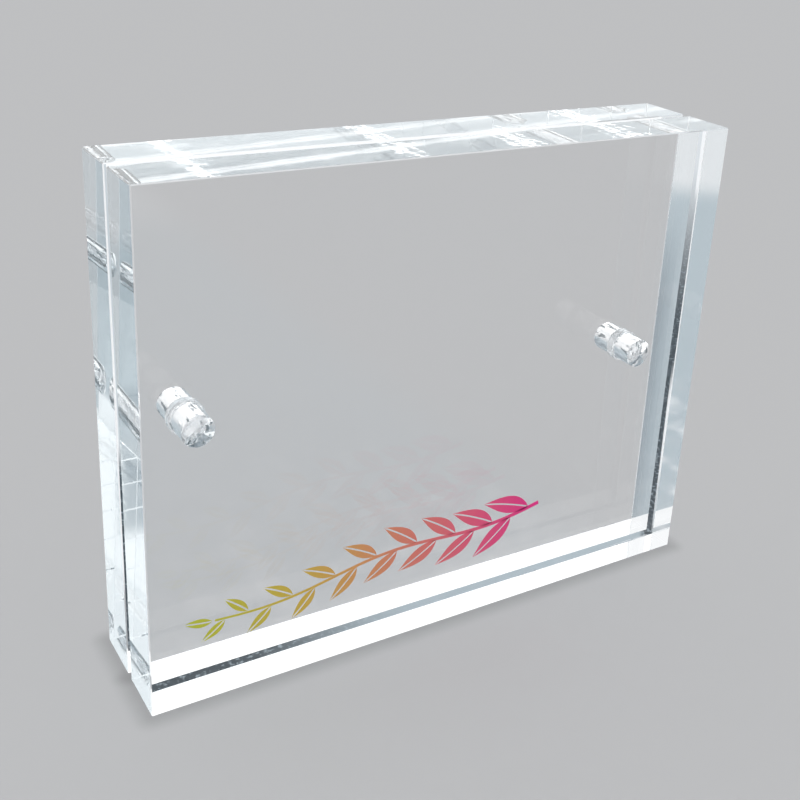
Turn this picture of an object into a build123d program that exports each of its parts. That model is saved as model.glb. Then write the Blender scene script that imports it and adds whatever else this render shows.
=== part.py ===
from build123d import *
import os
from math import radians, tan

# Acrylic block frame: two clear blocks, held a small gap apart by two split pegs with a collar.
# Millimetres. +X points to the viewer's right, +Y to the back and +Z up.
# The origin is at the middle of the base.

# Blocks
block_width = 127.0
block_height = 101.6
front_block_depth = 12.0
back_block_depth = 12.0
block_gap = 1.8
edge_bevel = 0.2

# Peg places: how far each axis stands in from its side of the frame, and how high
left_peg_inset = 10.8
left_peg_height = 55.9
right_peg_inset = 16.0
right_peg_height = 52.5

# Drilled holes
drill_point_angle = 118.0
hole_end_wall = 1.3
hole_mouth_bevel = 0.1

# Pegs
peg_diameter = 6.0
peg_tip_bevel = 0.6
collar_seat_width = 0.2
collar_bevel = 0.1
slit_width = 1.2
slit_root = 1.6
slit_turn = 45.0

# Fits
peg_hole_clearance = 0.1
peg_end_clearance = 0.4
collar_seat_clearance = 0.02

# Planes across the depth, from the front face to the back face
frame_depth = front_block_depth + block_gap + back_block_depth
front_face = -frame_depth / 2
gap_front = front_face + front_block_depth
gap_back = gap_front + block_gap
gap_middle = (gap_front + gap_back) / 2

# Round sizes that the holes and the pegs share
peg_radius = peg_diameter / 2
hole_radius = peg_radius + peg_hole_clearance
hole_mouth_radius = hole_radius + hole_mouth_bevel
drill_point_depth = hole_radius / tan(radians(drill_point_angle / 2))
collar_radius = hole_mouth_radius + collar_seat_width + collar_bevel
collar_half = block_gap / 2 - collar_seat_clearance

left_peg_x = -block_width / 2 + left_peg_inset
right_peg_x = block_width / 2 - right_peg_inset
peg_places = [(left_peg_x, left_peg_height), (right_peg_x, right_peg_height)]


# Length of the straight wall of a blind hole in a block of this depth
def hole_depth(depth):
    return depth - hole_end_wall - drill_point_depth


# Distance from the middle of a peg to its tip in a block of this depth
def peg_reach(depth):
    return block_gap / 2 + hole_depth(depth) - peg_end_clearance


# A blind hole with a bevelled mouth at y = 0 and the cone of the drill's point at its end
def drilled_hole(depth):
    wall_end = hole_depth(depth)
    outline = Polyline(
        (0, 0),
        (hole_mouth_radius, 0),
        (hole_radius, hole_mouth_bevel),
        (hole_radius, wall_end),
        (0, wall_end + drill_point_depth),
        close=True,
    )
    return revolve(make_face(outline), Axis.Y)


# A slab with every edge bevelled and polished, from y = 0 to its depth
def bevelled_slab(depth):
    slab = Box(block_width, depth, block_height, align=(Align.CENTER, Align.MIN, Align.MIN))
    return chamfer(slab.edges(), edge_bevel)


# The block behind the gap, drilled from its front face
def make_back_block():
    block = Pos(0, gap_back, 0) * bevelled_slab(back_block_depth)
    hole = drilled_hole(back_block_depth)
    for x, z in peg_places:
        block -= Pos(x, gap_back, z) * hole
    return block


# The block before the gap, drilled from its rear face
def make_front_block():
    block = Pos(0, front_face, 0) * bevelled_slab(front_block_depth)
    hole = Rot(Z=180) * drilled_hole(front_block_depth)
    for x, z in peg_places:
        block -= Pos(x, gap_front, z) * hole
    return block


# Half a peg on the +Y side of its middle: half the collar, and a spigot split along its axis
def peg_half(depth):
    tip = peg_reach(depth)
    outline = Polyline(
        (0, 0),
        (collar_radius, 0),
        (collar_radius, collar_half - collar_bevel),
        (collar_radius - collar_bevel, collar_half),
        (peg_radius, collar_half),
        (peg_radius, tip - peg_tip_bevel),
        (peg_radius - peg_tip_bevel, tip),
        (0, tip),
        close=True,
    )
    half = revolve(make_face(outline), Axis.Y)
    slit_length = tip - collar_half - slit_root
    slit = Box(slit_width, slit_length, 2 * collar_radius, align=(Align.CENTER, Align.MAX, Align.CENTER))
    return half - Pos(0, tip, 0) * Rot(Y=slit_turn) * slit


# A whole peg with its middle in the middle of the gap
def make_peg(place):
    x, z = place
    back_half = peg_half(back_block_depth)
    front_half = mirror(peg_half(front_block_depth), Plane.XZ)
    return Pos(x, gap_middle, z) * (back_half + front_half)


nodes = {
    "front_block": make_front_block(),
    "back_block": make_back_block(),
    "left_peg": make_peg(peg_places[0]),
    "right_peg": make_peg(peg_places[1]),
}

os.makedirs("parts", exist_ok=True)
for name, solid in nodes.items():
    export_step(solid, f"parts/{name}.step")
    print(name, round(solid.volume, 2), "mm3")
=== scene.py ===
import bpy
import bmesh
from math import cos, pi, radians, sin
from mathutils import Matrix, Vector


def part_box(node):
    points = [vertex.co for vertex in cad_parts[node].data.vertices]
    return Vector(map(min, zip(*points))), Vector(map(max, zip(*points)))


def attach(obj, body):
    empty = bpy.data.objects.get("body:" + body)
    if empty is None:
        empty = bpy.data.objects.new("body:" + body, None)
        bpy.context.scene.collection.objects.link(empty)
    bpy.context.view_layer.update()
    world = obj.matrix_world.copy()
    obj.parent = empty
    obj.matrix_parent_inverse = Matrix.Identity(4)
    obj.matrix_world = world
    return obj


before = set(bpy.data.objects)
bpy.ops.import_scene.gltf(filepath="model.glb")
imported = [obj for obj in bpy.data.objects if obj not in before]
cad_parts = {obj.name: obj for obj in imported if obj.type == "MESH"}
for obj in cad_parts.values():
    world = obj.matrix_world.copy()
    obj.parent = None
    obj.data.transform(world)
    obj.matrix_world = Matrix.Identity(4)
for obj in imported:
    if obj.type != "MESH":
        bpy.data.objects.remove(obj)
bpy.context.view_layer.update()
blocks = ("front_block", "back_block")
pegs = ("left_peg", "right_peg")
print("frame loaded:", sorted(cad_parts))


# a socket that works in sums, and the one way to add any other node
class Wire:
    def __init__(self, tree, socket=None):
        self.tree = tree
        self.socket = socket

    # settings come first, then the sockets, which take a value or a Wire
    def node(self, kind, settings, inputs, output=0):
        made = self.tree.nodes.new(kind)
        for name, value in settings.items():
            if name == "stops":
                self.setStops(made.color_ramp.elements, value)
            else:
                setattr(made, name, value)
        for name, value in inputs.items():
            if isinstance(value, Wire):
                self.tree.links.new(value.socket, made.inputs[name])
            else:
                made.inputs[name].default_value = value
        return Wire(self.tree, made.outputs[output] if made.outputs else None)

    # a ramp starts with two stops
    def setStops(self, elements, stops):
        while len(elements) < len(stops):
            elements.new(1.0)
        for element, (place, colour) in zip(elements, stops):
            element.position = place
            element.color = colour

    def math(self, operation, first, second=0.0):
        return self.node("ShaderNodeMath", {"operation": operation}, {0: first, 1: second})

    def __add__(self, other):
        return self.math("ADD", self, other)

    def __radd__(self, other):
        return self.math("ADD", other, self)

    def __sub__(self, other):
        return self.math("SUBTRACT", self, other)

    def __rsub__(self, other):
        return self.math("SUBTRACT", other, self)

    def __mul__(self, other):
        return self.math("MULTIPLY", self, other)

    def __rmul__(self, other):
        return self.math("MULTIPLY", other, self)

    def __truediv__(self, other):
        return self.math("DIVIDE", self, other)

    def __rtruediv__(self, other):
        return self.math("DIVIDE", other, self)

    def __lt__(self, other):
        return self.math("LESS_THAN", self, other)

    def __gt__(self, other):
        return self.math("GREATER_THAN", self, other)

    def __abs__(self):
        return self.math("ABSOLUTE", self)

    def atLeast(self, other):
        return self.math("MAXIMUM", self, other)

    def root(self):
        return self.math("SQRT", self)

    def sine(self):
        return self.math("SINE", self)


def newMaterial(name):
    material = bpy.data.materials.new(name)
    material.use_nodes = True
    material.node_tree.nodes.clear()
    return material, Wire(material.node_tree)


# those parts of a vector that are asked for
def parts(vector, axes="XYZ"):
    return [vector.node("ShaderNodeSeparateXYZ", {}, {"Vector": vector}, axis) for axis in axes]


def lengthOf(vector):
    return vector.node("ShaderNodeVectorMath", {"operation": "LENGTH"}, {0: vector}, "Value")


# 0 before the first edge, 1 after the second, soft in between
def smooth(value, edges):
    return value.node("ShaderNodeMapRange", {"interpolation_type": "SMOOTHSTEP"},
                      {"Value": value, "From Min": edges[0], "From Max": edges[1]})


# from the first to the second of a pair, by a factor
def between(factor, pair):
    return pair[0] + factor * (pair[1] - pair[0])


# the factor is held between 0 and 1
def mixColours(factor, first, second, blend="MIX"):
    return factor.node("ShaderNodeMix", {"data_type": "RGBA", "blend_type": blend},
                       {"Factor": factor, "A": first, "B": second}, "Result")


# noise on a place that is first stretched, as so many lumps per metre each way
def noise(place, lumps, detail=2.0):
    stretched = place.node("ShaderNodeVectorMath", {"operation": "MULTIPLY"}, {0: place, 1: lumps})
    return place.node("ShaderNodeTexNoise", {},
                      {"Vector": stretched, "Scale": 1.0, "Detail": detail}, "Fac")


# a normal from a height in metres
def bump(height):
    return height.node("ShaderNodeBump", {}, {"Height": height, "Distance": 1.0, "Strength": 1.0})


# what kind of ray has come, or how many turns it has taken
def ray(tree, name):
    return tree.node("ShaderNodeLightPath", {}, {}, name)


def ownPlace(tree):
    return tree.node("ShaderNodeTexCoord", {}, {}, "Object")


# the same place as a CAD piece sees it, wherever that piece is
def seenFrom(tree, node):
    return tree.node("ShaderNodeTexCoord", {"object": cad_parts[node]}, {}, "Object")


# the middle of a CAD piece, and half its size
def middleOf(node):
    low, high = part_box(node)
    return (low + high) / 2, (high - low) / 2


# a colour as it shows on screen, from 0 to 255, in the shader's linear light
def shown(red, green, blue):
    def linear(v):
        return v / 3294.6 if v < 10.31 else ((v / 255 + 0.055) / 1.055) ** 2.4
    return linear(red), linear(green), linear(blue), 1.0


# Camera, set by the photo's corners
camera = {
    "eye": (-0.1173, -0.1855, 0.1524),
    "turn": 33.44,          # degrees from straight back towards the right
    "dip": 21.39,           # degrees below level
    "roll": 3.60,
    "focalPixels": 1175.8,
    "axisPixel": (450, 310),
    "picturePixels": 800,
    "sensor": 36.0,
    "clip": (0.01, 100),
}


def makeCamera(c):
    turn, dip, roll = radians(c["turn"]), radians(c["dip"]), radians(c["roll"])
    ahead = Vector((sin(turn) * cos(dip), cos(turn) * cos(dip), -sin(dip)))
    level = Vector((cos(turn), -sin(turn), 0))
    upright = level.cross(ahead)
    right = level * cos(roll) + upright * sin(roll)
    up = upright * cos(roll) - level * sin(roll)
    data = bpy.data.cameras.new("camera")
    data.sensor_width = c["sensor"]
    data.lens = c["focalPixels"] * c["sensor"] / c["picturePixels"]
    data.shift_x = 0.5 - c["axisPixel"][0] / c["picturePixels"]
    data.shift_y = c["axisPixel"][1] / c["picturePixels"] - 0.5
    data.clip_start, data.clip_end = c["clip"]
    obj = bpy.data.objects.new("camera", data)
    bpy.context.scene.collection.objects.link(obj)
    obj.matrix_world = Matrix.Translation(c["eye"]) @ Matrix((right, up, -ahead)).transposed().to_4x4()
    bpy.context.scene.camera = obj


makeCamera(camera)
print("camera placed")


# Studio: a pale floor under a white dome, and the floor's grey behind it for the eye
studio = {
    "grey": shown(190, 191, 193),
    "dome": (0.98, 0.99, 1.0, 1),
    "domeRises": (-0.02, 0.08),         # height on the dome, from 0 at the horizon to 1 overhead
    "panelReach": (0.55, 0.85),         # cosines of a soft panel's outer and inner edge
    "panels": [((0.50, 0.80, 0.42), (0.34, 0.34, 0.33, 1)),
               ((0.34, -0.90, 0.36), (0.24, 0.24, 0.24, 1))],
    # lamp tubes that run from front to back: how far right, half as wide as, and from where to where,
    # all in heights of the ceiling
    "tubes": [(1.316, 0.026, 1.8, 6.0),
              (2.089, 0.026, 1.8, 6.0),
              (2.569, 0.036, 1.8, 3.65),
              (3.057, 0.036, 1.8, 6.0)],
    "tubeLight": (2.4, 2.4, 2.4, 1),
    "tubeSoftness": 0.6,
    "tubesFrom": 0.001,                 # height on the dome
    # two grey cards, one behind and one before, which show low in the front block's left wall
    "card": shown(174, 182, 188),
    "cardNear": (1.9, 2.1),             # steps back or forward for each step to the right
    "cardFar": (3.465, 3.440),
    "cardFoot": (0.42, 0.43),           # height on the dome
    "cardTop": (0.536, 0.520),
}


def makeWorld(s):
    world = bpy.data.worlds.new("studio")
    bpy.context.scene.world = world
    world.use_nodes = True
    world.node_tree.nodes.clear()
    tree = Wire(world.node_tree)
    direction = tree.node("ShaderNodeTexCoord", {}, {}, "Generated")
    toRight, toBack, upward = parts(direction)
    unseen = 1 - ray(tree, "Is Camera Ray")
    sky = mixColours(smooth(upward, s["domeRises"]) * unseen, s["grey"], s["dome"])

    for middle, light in s["panels"]:
        towards = tree.node("ShaderNodeVectorMath", {"operation": "DOT_PRODUCT"},
                            {0: direction, 1: Vector(middle).normalized()}, "Value")
        sky = mixColours(smooth(towards, s["panelReach"]) * unseen, sky, light, "ADD")

    aloft = upward.atLeast(s["tubesFrom"])
    for aside, half, start, end in s["tubes"]:
        off = abs(toRight / aloft - aside)
        along = toBack / aloft
        tube = smooth(off, (half, half * s["tubeSoftness"])) * (along > start) * (along < end)
        sky = mixColours(tube * unseen, sky, s["tubeLight"], "ADD")

    steps = abs(toBack) / toRight
    card = smooth(steps, s["cardNear"]) * smooth(steps, s["cardFar"])
    card = card * smooth(upward, s["cardFoot"]) * smooth(upward, s["cardTop"])
    sky = mixColours(card * unseen, sky, s["card"])
    light = tree.node("ShaderNodeBackground", {}, {"Color": sky})
    tree.node("ShaderNodeOutputWorld", {}, {"Surface": light})


# Painted reflection: tones that the floor shows only to mirrored rays, as the side walls mirror it. Places
# and distances are from the middle of the frame.
paintedMirrorLook = {
    "edge": (0.268, 0.318),             # how far off it turns pale
    "near": shown(176, 187, 193),
    "far": shown(218, 221, 223),
    "beside": shown(164, 173, 178),     # behind and to the right of the frame
    "besideFrom": (0.05, 0.11),
    "behindFrom": (-0.03, 0.02),
    "beforeTo": (0.06, 0.03),           # before the frame it stays plain on the right
    "pale": shown(254, 254, 254),
    # a darker painted reflection in the back block's right wall
    "wall": shown(142, 152, 159),
    "wallFrom": (0.0690, 0.0790),
    "wallTo": (0.110, 0.095),
    "wallFades": (0.277, 0.113),
    # pale patches of painted reflection in the front block's right wall
    "patchLumps": (95, 95, 95),
    "patchEdge": (0.45, 0.80),
    "patchFades": (0.075, 0.045),
    # a pale painted reflection beside the back block, in its left wall
    "leftSlope": 3.45,
    "leftFrom": (-0.2196, -0.2186),
    "leftTo": (-0.2040, -0.2055),
    "leftStarts": (0.0625, 0.0634),
    "leftEnds": (0.0700, 0.0676),
}


# painted reflection: the floor's tones for mirrored rays only
def paintedMirrorTones(tree, m, plain):
    place = seenFrom(tree, "back_block")
    x, y = parts(place, "XY")
    far = lengthOf(place)
    tone = mixColours(smooth(far, m["edge"]), m["near"], m["far"])
    tone = mixColours(smooth(x, m["besideFrom"]), tone, m["beside"])
    aslant = x + y
    backWall = smooth(aslant, m["wallFrom"]) * smooth(aslant, m["wallTo"])
    tone = mixColours(backWall * smooth(far, m["wallFades"]), tone, m["wall"])
    frontWall = aslant < m["wallFrom"][0]
    patches = smooth(noise(place, m["patchLumps"]), m["patchEdge"])
    tone = mixColours(frontWall * patches * smooth(far, m["patchFades"]), tone, m["pale"])
    aslant = y - m["leftSlope"] * x
    leftWall = smooth(aslant, m["leftFrom"]) * smooth(aslant, m["leftTo"])
    leftWall = leftWall * smooth(x, m["leftStarts"]) * smooth(x, m["leftEnds"])
    tone = mixColours(leftWall, tone, m["pale"])
    mirrors = smooth(y, m["behindFrom"]).atLeast(smooth(x, m["beforeTo"]))
    return mixColours(mirrors, plain, tone)


# What the tops show of the floor under the blocks: a painted shade under each block's middle and painted
# light at its edges, seen only by mirrored rays
paintedUnderLook = {
    "middle": {"front_block": shown(116, 130, 139), "back_block": shown(168, 178, 184)},
    "edge": shown(254, 254, 254),
    "band": (0.60, 0.92),               # of half a block's depth, where the one turns into the other
    "patchLumps": (110, 260, 110),
    "patchMean": 0.5,
    "patchShare": 1.5,
    "calm": "front_block",              # to the right, the front half of its top is calmer
    "calmFrom": (0.0, 0.012),
    "calmDepth": (0.0005, -0.0010),
}


# painted shade under each block's middle and painted light at its edges
def paintedUnderTones(tree, u, node, tone):
    place = seenFrom(tree, node)
    x, y = parts(place, "XY")
    middle, half = middleOf(node)
    deep = y - middle.y
    covered = (abs(x - middle.x) < half.x) * (abs(deep) < half.y)
    edge = smooth(abs(deep), [share * half.y for share in u["band"]])
    edge = edge + u["patchShare"] * (noise(place, u["patchLumps"]) - u["patchMean"])
    if node == u["calm"]:
        edge = edge * (1 - smooth(x, u["calmFrom"]) * smooth(deep, u["calmDepth"]))
    return mixColours(covered, tone, mixColours(edge, u["middle"][node], u["edge"]))


# What shows through one block, along the seam between the two: a dark painted shade with specks, and pale
# painted light
paintedSeamLook = {
    "pale": shown(250, 251, 252),
    "dark": shown(46, 57, 65),
    "speck": shown(150, 162, 170),
    "speckLumps": (900, 900, 900),
    "speckDetail": 3,
    "speckEdge": (0.50, 0.72),
    # along the bottom, painted shade only at the left
    "bottom": (0.030, 0.022),
    "middling": shown(168, 180, 187),
    "middlingFrom": (-0.045, 0.0),
    # up the left side, painted shade low down
    "leftSlope": 0.36,
    "left": (0.0555, 0.0585),
    "leftEnds": (0.10, 0.08),
    "leftFar": shown(192, 199, 204),
    "leftFarSlope": 0.2891,
    "leftFarFrom": (-0.0649, -0.0643),
    "leftFarTo": (-0.0634, -0.0637),
    # up the right side, painted shade with a painted light line near the frame, and another far from it
    "right": (0.0600, 0.0620),
    "rightFades": (0.18, 0.46),
    "rightPale": shown(212, 217, 221),
    "rightLight": shown(238, 240, 242),
    "rightLines": [((0.165, 0.125), (0.0640, 0.0644)),
                   ((0.35, 0.40), (0.0646, 0.0651))],
}


# painted shade and painted light for rays through one block along the seam
def paintedSeamTones(tree, s):
    place = seenFrom(tree, "back_block")
    x, y = parts(place, "XY")
    far = lengthOf(place)
    specks = smooth(noise(place, s["speckLumps"], s["speckDetail"]), s["speckEdge"])
    dark = mixColours(specks, s["dark"], s["speck"])
    bottom = mixColours(smooth(x, s["middlingFrom"]), dark, s["middling"])
    tone = mixColours(smooth(y, s["bottom"]), s["pale"], bottom)

    low = smooth(y, s["leftEnds"])
    aslant = x - s["leftFarSlope"] * y
    leftFar = smooth(aslant, s["leftFarFrom"]) * smooth(aslant, s["leftFarTo"])
    tone = mixColours(leftFar * (1 - low), tone, s["leftFar"])
    tone = mixColours(smooth(s["leftSlope"] * y - x, s["left"]) * low, tone, dark)

    aslant = x - y
    right = mixColours(smooth(far, s["rightFades"]), dark, s["rightPale"])
    for reach, edge in s["rightLines"]:
        right = mixColours(smooth(far, reach) * smooth(aslant, edge), right, s["rightLight"])
    return mixColours(smooth(aslant, s["right"]), tone, right)


# Floor: plain to the eye. Clear edges gather light from all over a room, so what they mirror, and what
# shows through the seam between the blocks, is given painted tones: painted reflection, painted shade and
# painted light.
floorLook = {
    "reach": 15.0,
    "drop": 0.0001,             # a film of air under the blocks
    "plain": shown(182.5, 182.5, 183.5),
    "throughBoth": shown(182.5, 182, 183),
    "bothDepth": 3,             # turns that a ray has taken when it goes through both blocks
    "closedGap": 0.001,         # further apart than this, the blocks have no seam
    "contactReach": 0.0045,
    "contactShade": 0.24,
}


# a soft shade round the base of each block
def contactShade(tree, f):
    shade = 1
    for node in blocks:
        x, y = parts(seenFrom(tree, node), "XY")
        middle, half = middleOf(node)
        outX = (abs(x - middle.x) - half.x).atLeast(0)
        outY = (abs(y - middle.y) - half.y).atLeast(0)
        outside = (outX * outX + outY * outY).root()
        shade = shade * (1 - f["contactShade"] * smooth(outside, (f["contactReach"], 0)))
    return shade


def makeFloor(f):
    mesh = bpy.data.meshes.new("floor")
    r = f["reach"]
    level = -f["drop"]
    mesh.from_pydata([(-r, -r, level), (r, -r, level), (r, r, level), (-r, r, level)], [], [(0, 1, 2, 3)])
    floor = bpy.data.objects.new("floor", mesh)
    bpy.context.scene.collection.objects.link(floor)
    material, tree = newMaterial("floor")

    # painted reflection, and painted shade and light under the blocks, for mirrored rays only
    mirror = paintedMirrorTones(tree, paintedMirrorLook, f["plain"])
    for node in blocks:
        mirror = paintedUnderTones(tree, paintedUnderLook, node, mirror)
    mirrored = ray(tree, "Glossy Depth") > 0
    straight = ray(tree, "Is Transmission Ray") * (1 - mirrored)
    frontY, backY = [parts(seenFrom(tree, node), "Y")[0] for node in blocks]
    closed = frontY - backY < f["closedGap"]
    # painted shade and light along the seam, for rays through one block only
    throughOne = straight * (ray(tree, "Ray Depth") < f["bothDepth"]) * closed
    plain = tree.node("ShaderNodeVectorMath", {"operation": "SCALE"},
                      {0: f["plain"][:3], "Scale": contactShade(tree, f)})
    colour = mixColours(straight, plain, f["throughBoth"])
    colour = mixColours(mirrored, colour, mirror)
    colour = mixColours(throughOne, colour, paintedSeamTones(tree, paintedSeamLook))
    coat = tree.node("ShaderNodeBsdfDiffuse", {}, {"Color": colour})
    tree.node("ShaderNodeOutputMaterial", {}, {"Surface": coat})
    mesh.materials.append(material)


makeWorld(studio)
makeFloor(floorLook)
print("studio made")


# Clear acrylic
acrylic = {
    "bend": 1.49,
    "tint": (0.72, 0.93, 1.0, 1),
    "tintPerMetre": 1.2,
    "shadeThrough": (0.975, 0.977, 0.98, 1),
    "square": 0.9,              # a face is square to an axis over this square of its normal's part
    "frost": (0.96, 0.97, 0.98, 1),
    "frostRoughness": 0.5,
    # narrow walls, polished after the saw
    "wallRoughness": (0.008, 0.030),
    "wallLumps": (150, 260, 150),
    "wallHeight": 0.000012,
    "sideCalm": 0.7,            # how much of the waves the short sides lack
    "chatterPitch": 0.0026,
    "chatterBend": 6,
    "chatterHeight": 0.0000007,
    # bevels, scraped by hand
    "bevelFrost": 0.45,
    "baseTo": 0.001,            # the base and the bevels round it are polished clear
    # drilled holes
    "holeRoughness": 0.05,
    "holeFrost": 0.12,
    "holeLumps": (430, 260, 430),
    "holeHeight": 0.00015,
    "scores": (1200, 170, 1200),        # fine marks left by the drill, along the hole
    "scoreEdge": (0.60, 0.64),
    "scoreFrost": 0.75,
    "scoreColour": (0.10, 0.13, 0.15, 1),
    # moulded pegs
    "pegRoughness": (0.03, 0.10),
    "pegLumps": (500, 220, 500),
    "pegHeight": 0.00004,
    "pegFrost": (0.0, 0.34),
}


# the acrylic's body, with soft light and shadow rays let straight through it
def finishAcrylic(tree, a, roughness, frost, frostColour, normal):
    surface = tree.node("ShaderNodeBsdfPrincipled", {}, {
        "Base Color": (1, 1, 1, 1), "Roughness": roughness, "IOR": a["bend"], "Transmission Weight": 1.0,
        "Normal": normal})
    frosted = tree.node("ShaderNodeBsdfPrincipled", {}, {
        "Base Color": frostColour, "Roughness": a["frostRoughness"], "IOR": a["bend"], "Normal": normal})
    surface = tree.node("ShaderNodeMixShader", {}, {0: frost, 1: surface, 2: frosted})
    clear = tree.node("ShaderNodeBsdfTransparent", {}, {"Color": a["shadeThrough"]})
    for kind in ("Is Shadow Ray", "Is Diffuse Ray"):
        surface = tree.node("ShaderNodeMixShader", {}, {0: ray(tree, kind), 1: surface, 2: clear})
    inside = tree.node("ShaderNodeVolumeAbsorption", {},
                       {"Color": a["tint"], "Density": a["tintPerMetre"]})
    tree.node("ShaderNodeOutputMaterial", {}, {"Surface": surface, "Volume": inside})


def makeBlockAcrylic(a):
    material, tree = newMaterial("clearBlock")
    place = ownPlace(tree)
    x, z = parts(place, "XZ")
    facing = parts(tree.node("ShaderNodeTexCoord", {}, {}, "Normal"))
    squareX, squareY, squareZ = [part * part > a["square"] for part in facing]
    cut = 1 - squareY
    hole = 0
    for peg in pegs:
        middle, half = middleOf(peg)
        dx = x - middle.x
        dz = z - middle.z
        hole = hole + (dx * dx + dz * dz < half.x * half.x)
    hole = hole * cut
    bevel = (cut - hole) * (1 - squareX) * (1 - squareZ)
    wall = cut - hole - bevel
    overBase = z > a["baseTo"]

    waves = noise(place, a["wallLumps"])
    chatter = ((x + z) * (2 * pi / a["chatterPitch"]) + a["chatterBend"] * waves).sine()
    waved = wall * overBase * (1 - a["sideCalm"] * squareX)
    height = waved * (waves * a["wallHeight"] + chatter * a["chatterHeight"])
    height = height + hole * noise(place, a["holeLumps"]) * a["holeHeight"]
    roughness = wall * between(waves, a["wallRoughness"]) + hole * a["holeRoughness"]
    scores = hole * smooth(noise(place, a["scores"]), a["scoreEdge"])
    frost = hole * a["holeFrost"] + scores * a["scoreFrost"]
    frost = frost + bevel * overBase * a["bevelFrost"]
    frostColour = mixColours(scores, a["frost"], a["scoreColour"])
    finishAcrylic(tree, a, roughness, frost, frostColour, bump(height))
    return material


def makePegAcrylic(a):
    material, tree = newMaterial("clearPeg")
    flow = noise(ownPlace(tree), a["pegLumps"])
    roughness = between(flow, a["pegRoughness"])
    frost = between(flow, a["pegFrost"])
    finishAcrylic(tree, a, roughness, frost, a["frost"], bump(flow * a["pegHeight"]))
    return material


for finish, pieces in ((makeBlockAcrylic(acrylic), blocks), (makePegAcrylic(acrylic), pegs)):
    for name in pieces:
        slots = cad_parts[name].data.materials
        slots.clear()
        slots.append(finish)
print("acrylic set")


# Printed sprig on the front face, a film of ink. Pairs run from the stem's root, at the right, to its tip.
sprig = {
    "name": "printed_sprig",
    "stemRoot": (0.0225, 0.0228),       # along the width, and up
    "stemTip": (-0.0510, 0.0172),
    "stemWave": 0.0011,
    "stemWaves": 1.5,
    "stemWidth": (0.0009, 0.00045),
    "stemSteps": 56,
    "headingStep": 0.01,                # of the stem, to either side of a place
    "leaves": 16,
    "leafLength": (0.0122, 0.0056),
    "leafWidth": 0.34,                  # of its length
    "leafPower": 0.8,                   # under 1, a leaf is widest near its foot
    "leafCurl": 0.10,                   # sideways at its tip, of its length
    "leafSteps": 14,
    "lean": (34, 46),                   # degrees from the stem
    "tipLean": 0.0001,                  # the last leaf goes straight on, and curls to one side
    "vein": 0.00034,
    "stalk": 0.0005,
    "weld": 1e-7,
    "film": 0.00003,
    "lift": 0.000004,                   # off the face, so that the two don't share a plane
    "stops": [(0.0, shown(182, 190, 46)), (0.30, shown(200, 168, 66)), (0.55, shown(212, 128, 100)),
              (0.78, shown(222, 86, 118)), (1.0, shown(228, 24, 132))],
    "bend": 1.5,
    "roughness": (0.38, 0.52),
    "grainLumps": (9000, 9000, 9000),
    "grainDetail": 1,
    "grainShare": 0.12,
    "grainTone": (0.6, 0.6, 0.6, 1),
}


def makeInk(s, low, high):
    material, tree = newMaterial("printInk")
    place = ownPlace(tree)
    along = (parts(place, "X")[0] - low) / (high - low)
    grain = noise(place, s["grainLumps"], s["grainDetail"])
    ramp = tree.node("ShaderNodeValToRGB", {"stops": s["stops"]}, {0: along})
    colour = mixColours(s["grainShare"] * grain, ramp, s["grainTone"], "MULTIPLY")
    ink = tree.node("ShaderNodeBsdfPrincipled", {}, {
        "Base Color": colour, "Roughness": between(grain, s["roughness"]), "IOR": s["bend"]})
    tree.node("ShaderNodeOutputMaterial", {}, {"Surface": ink})
    return material


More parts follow.
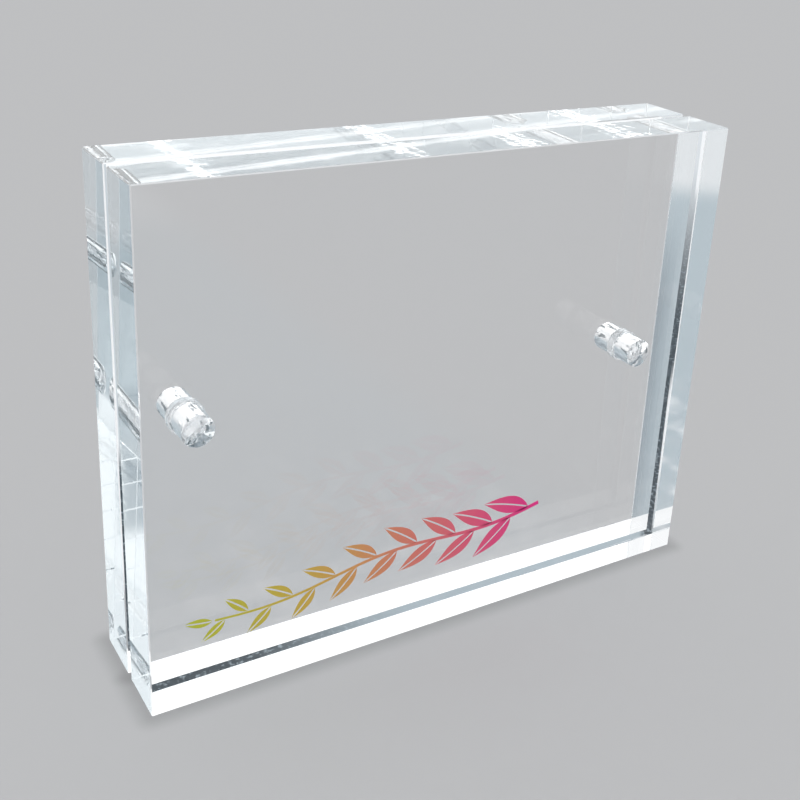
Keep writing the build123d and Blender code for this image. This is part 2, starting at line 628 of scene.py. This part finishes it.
def makeSprig(s):
    root, tip = Vector(s["stemRoot"]), Vector(s["stemTip"])
    run = tip - root
    across = Vector((-run.y, run.x)).normalized()

    # a place on the stem, from 0 at its root to 1 at its tip
    def onStem(t):
        return root + run * t + across * s["stemWave"] * sin(2 * pi * s["stemWaves"] * t)

    def stemHeading(t):
        return (onStem(t + s["headingStep"]) - onStem(t - s["headingStep"])).normalized()

    bm = bmesh.new()

    # a flat strip between two rows of places
    def addStrip(first, second):
        rows = [[bm.verts.new((p.x, 0, p.y)) for p in row] for row in (first, second)]
        for i in range(len(first) - 1):
            bm.faces.new((rows[0][i], rows[0][i + 1], rows[1][i + 1], rows[1][i]))

    def addStem():
        sides = []
        for side in (-0.5, 0.5):
            row = []
            for i in range(s["stemSteps"] + 1):
                t = i / s["stemSteps"]
                heading = stemHeading(t)
                aside = Vector((-heading.y, heading.x))
                row.append(onStem(t) + aside * between(t, s["stemWidth"]) * side)
            sides.append(row)
        addStrip(*sides)

    # two half blades, one each side of a bare vein
    def addLeaf(t, lean, length):
        ahead = Matrix.Rotation(lean, 2) @ stemHeading(t)
        aside = Vector((-ahead.y, ahead.x))
        start = onStem(t) + ahead * s["stalk"]
        curl = -s["leafCurl"] * length * (1 if lean > 0 else -1)
        for side in (-1, 1):
            inner, outer = [], []
            for i in range(s["leafSteps"] + 1):
                u = i / s["leafSteps"]
                rib = start + ahead * length * u + aside * curl * u * u
                half = s["leafWidth"] / 2 * length * sin(pi * u ** s["leafPower"])
                inner.append(rib + aside * side * min(s["vein"] / 2, half))
                outer.append(rib + aside * side * half)
            addStrip(inner, outer)

    # the same faces again in front, and a rim round them, in an order that each run repeats
    def addThickness():
        flat = bm.faces[:]
        rim = [(loop.vert, loop.link_loop_next.vert)
               for face in flat for loop in face.loops if loop.edge.is_boundary]
        raised = {vert: bm.verts.new((vert.co.x, -s["film"], vert.co.z)) for vert in bm.verts[:]}
        for face in flat:
            bm.faces.new([raised[vert] for vert in face.verts])
        for first, second in rim:
            bm.faces.new((second, first, raised[first], raised[second]))

    addStem()
    for i in range(s["leaves"]):
        t = (i + 0.5) / s["leaves"]
        lean = radians(between(t, s["lean"]))
        addLeaf(t, lean if i % 2 else -lean, between(t, s["leafLength"]))
    addLeaf(1.0, s["tipLean"], s["leafLength"][1])

    bmesh.ops.remove_doubles(bm, verts=bm.verts, dist=s["weld"])
    addThickness()
    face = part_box("front_block")[0].y
    for vert in bm.verts:
        vert.co.y += face - s["lift"]
    bmesh.ops.recalc_face_normals(bm, faces=bm.faces[:])
    mesh = bpy.data.meshes.new(s["name"])
    bm.to_mesh(mesh)
    bm.free()
    obj = bpy.data.objects.new(s["name"], mesh)
    bpy.context.scene.collection.objects.link(obj)
    reach = [v.co.x for v in mesh.vertices]
    mesh.materials.append(makeInk(s, min(reach), max(reach)))
    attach(obj, "front_block")


makeSprig(sprig)
print("sprig printed")

scene = bpy.context.scene
scene.view_settings.view_transform = "Standard"
bounces = 28            # many, for the light that zigzags inside the blocks
scene.cycles.max_bounces = bounces
scene.cycles.glossy_bounces = bounces
scene.cycles.transmission_bounces = bounces
scene.cycles.transparent_max_bounces = bounces
